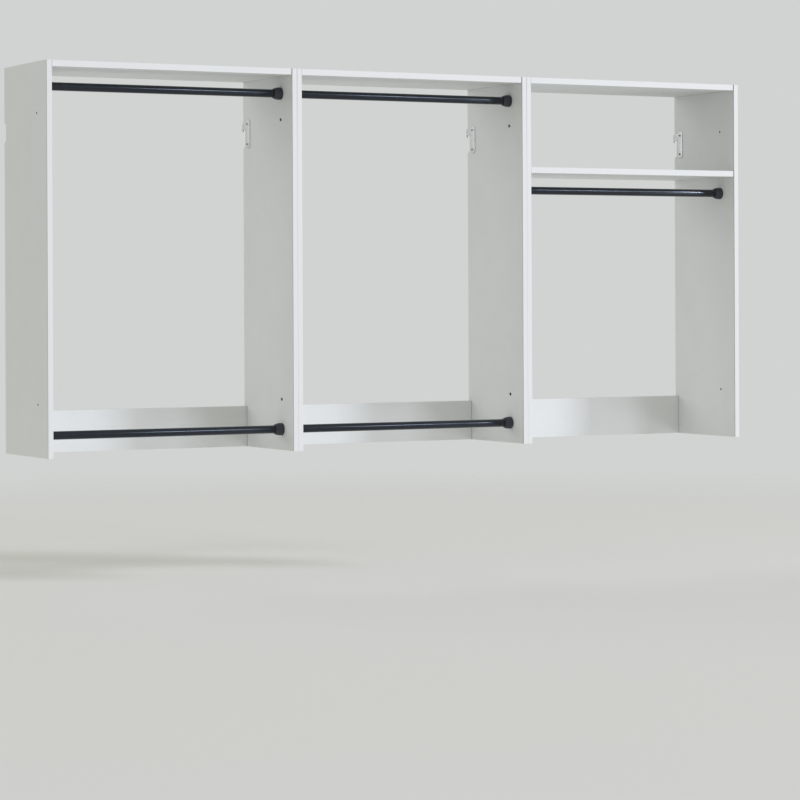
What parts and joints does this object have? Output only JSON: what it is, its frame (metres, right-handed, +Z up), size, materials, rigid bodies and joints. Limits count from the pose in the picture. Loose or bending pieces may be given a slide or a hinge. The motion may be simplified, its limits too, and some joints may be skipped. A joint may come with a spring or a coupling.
{
  "type": "wall mounted closet system",
  "caption": "White laminate closet bays joined side by side and hung on a wall by steel hooks, with dark hanging rods in bell cups and a shelf over one rod.",
  "frame": {"origin": "middle of the rear face of the middle bay's bottom rail, on the rear plane of the closet", "axes": "+X to the right along the wall seen from the front, +Y into the wall, +Z up"},
  "size_m": [2.439, 0.361, 1.168],
  "materials": {
    "white_melamine_board": "satin white melamine on particle board",
    "white_edge_band": "satin white edge banding",
    "black_rod_coating": "satin black powder coat on steel tube",
    "black_cup_plastic": "matte black moulded plastic",
    "zinc_plated_steel": "bright zinc plating",
    "zinc_casting": "die cast zinc",
    "black_connector_steel": "black oxide steel",
    "beech_dowel": "plain beech, fluted in reality"
  },
  "bodies": {
    "frame": {"left_bay_left_panel": "white_melamine_board", "left_bay_left_hanger": "zinc_plated_steel", "left_bay_right_panel": "white_melamine_board", "left_bay_right_hanger": "zinc_plated_steel", "left_bay_top_board": "white_melamine_board", "left_bay_rail": "white_melamine_board", "left_bay_cam_locks": "zinc_casting", "left_bay_cam_bolts": "zinc_plated_steel", "left_bay_dowels": "beech_dowel", "middle_bay_left_panel": "white_melamine_board", "middle_bay_left_hanger": "zinc_plated_steel", "middle_bay_right_panel": "white_melamine_board", "middle_bay_right_hanger": "zinc_plated_steel", "middle_bay_top_board": "white_melamine_board", "middle_bay_rail": "white_melamine_board", "middle_bay_cam_locks": "zinc_casting", "middle_bay_cam_bolts": "zinc_plated_steel", "middle_bay_dowels": "beech_dowel", "right_bay_left_panel": "white_melamine_board", "right_bay_left_hanger": "zinc_plated_steel", "right_bay_right_panel": "white_melamine_board", "right_bay_right_hanger": "zinc_plated_steel", "right_bay_top_board": "white_melamine_board", "right_bay_rail": "white_melamine_board", "right_bay_cam_locks": "zinc_casting", "right_bay_cam_bolts": "zinc_plated_steel", "right_bay_dowels": "beech_dowel", "right_bay_shelf": "white_melamine_board", "left_bay_upper_rod_left_cup": "black_cup_plastic", "left_bay_upper_rod_right_cup": "black_cup_plastic", "left_bay_lower_rod_left_cup": "black_cup_plastic", "left_bay_lower_rod_right_cup": "black_cup_plastic", "middle_bay_upper_rod_left_cup": "black_cup_plastic", "middle_bay_upper_rod_right_cup": "black_cup_plastic", "middle_bay_lower_rod_left_cup": "black_cup_plastic", "middle_bay_lower_rod_right_cup": "black_cup_plastic", "right_bay_rod_left_cup": "black_cup_plastic", "right_bay_rod_right_cup": "black_cup_plastic", "side_panel_edge_bands": "white_edge_band", "top_board_edge_bands": "white_edge_band", "shelf_edge_band": "white_edge_band", "rail_edge_bands": "white_edge_band", "rod_cup_screws": "zinc_plated_steel", "hanger_screws": "zinc_plated_steel", "connector_sleeves": "black_connector_steel", "connector_screws": "black_connector_steel"},
    "left_bay_upper_rod": {"left_bay_upper_rod": "black_rod_coating"},
    "left_bay_lower_rod": {"left_bay_lower_rod": "black_rod_coating"},
    "middle_bay_upper_rod": {"middle_bay_upper_rod": "black_rod_coating"},
    "middle_bay_lower_rod": {"middle_bay_lower_rod": "black_rod_coating"},
    "right_bay_rod": {"right_bay_rod": "black_rod_coating"}
  },
  "joints": [
    {"name": "left_bay_upper_rod_turn", "type": "hinge", "parent": "frame", "child": "left_bay_upper_rod", "pos_m": [-0.813, -0.273, 1.0325], "axis": [1, 0, 0], "continuous": true},
    {"name": "left_bay_lower_rod_turn", "type": "hinge", "parent": "frame", "child": "left_bay_lower_rod", "pos_m": [-0.813, -0.273, 0.0005], "axis": [1, 0, 0], "continuous": true},
    {"name": "middle_bay_upper_rod_turn", "type": "hinge", "parent": "frame", "child": "middle_bay_upper_rod", "pos_m": [0, -0.273, 1.0325], "axis": [1, 0, 0], "continuous": true},
    {"name": "middle_bay_lower_rod_turn", "type": "hinge", "parent": "frame", "child": "middle_bay_lower_rod", "pos_m": [0, -0.273, 0.0005], "axis": [1, 0, 0], "continuous": true},
    {"name": "right_bay_rod_turn", "type": "hinge", "parent": "frame", "child": "right_bay_rod", "pos_m": [0.813, -0.273, 0.7465], "axis": [1, 0, 0], "continuous": true}
  ]
}
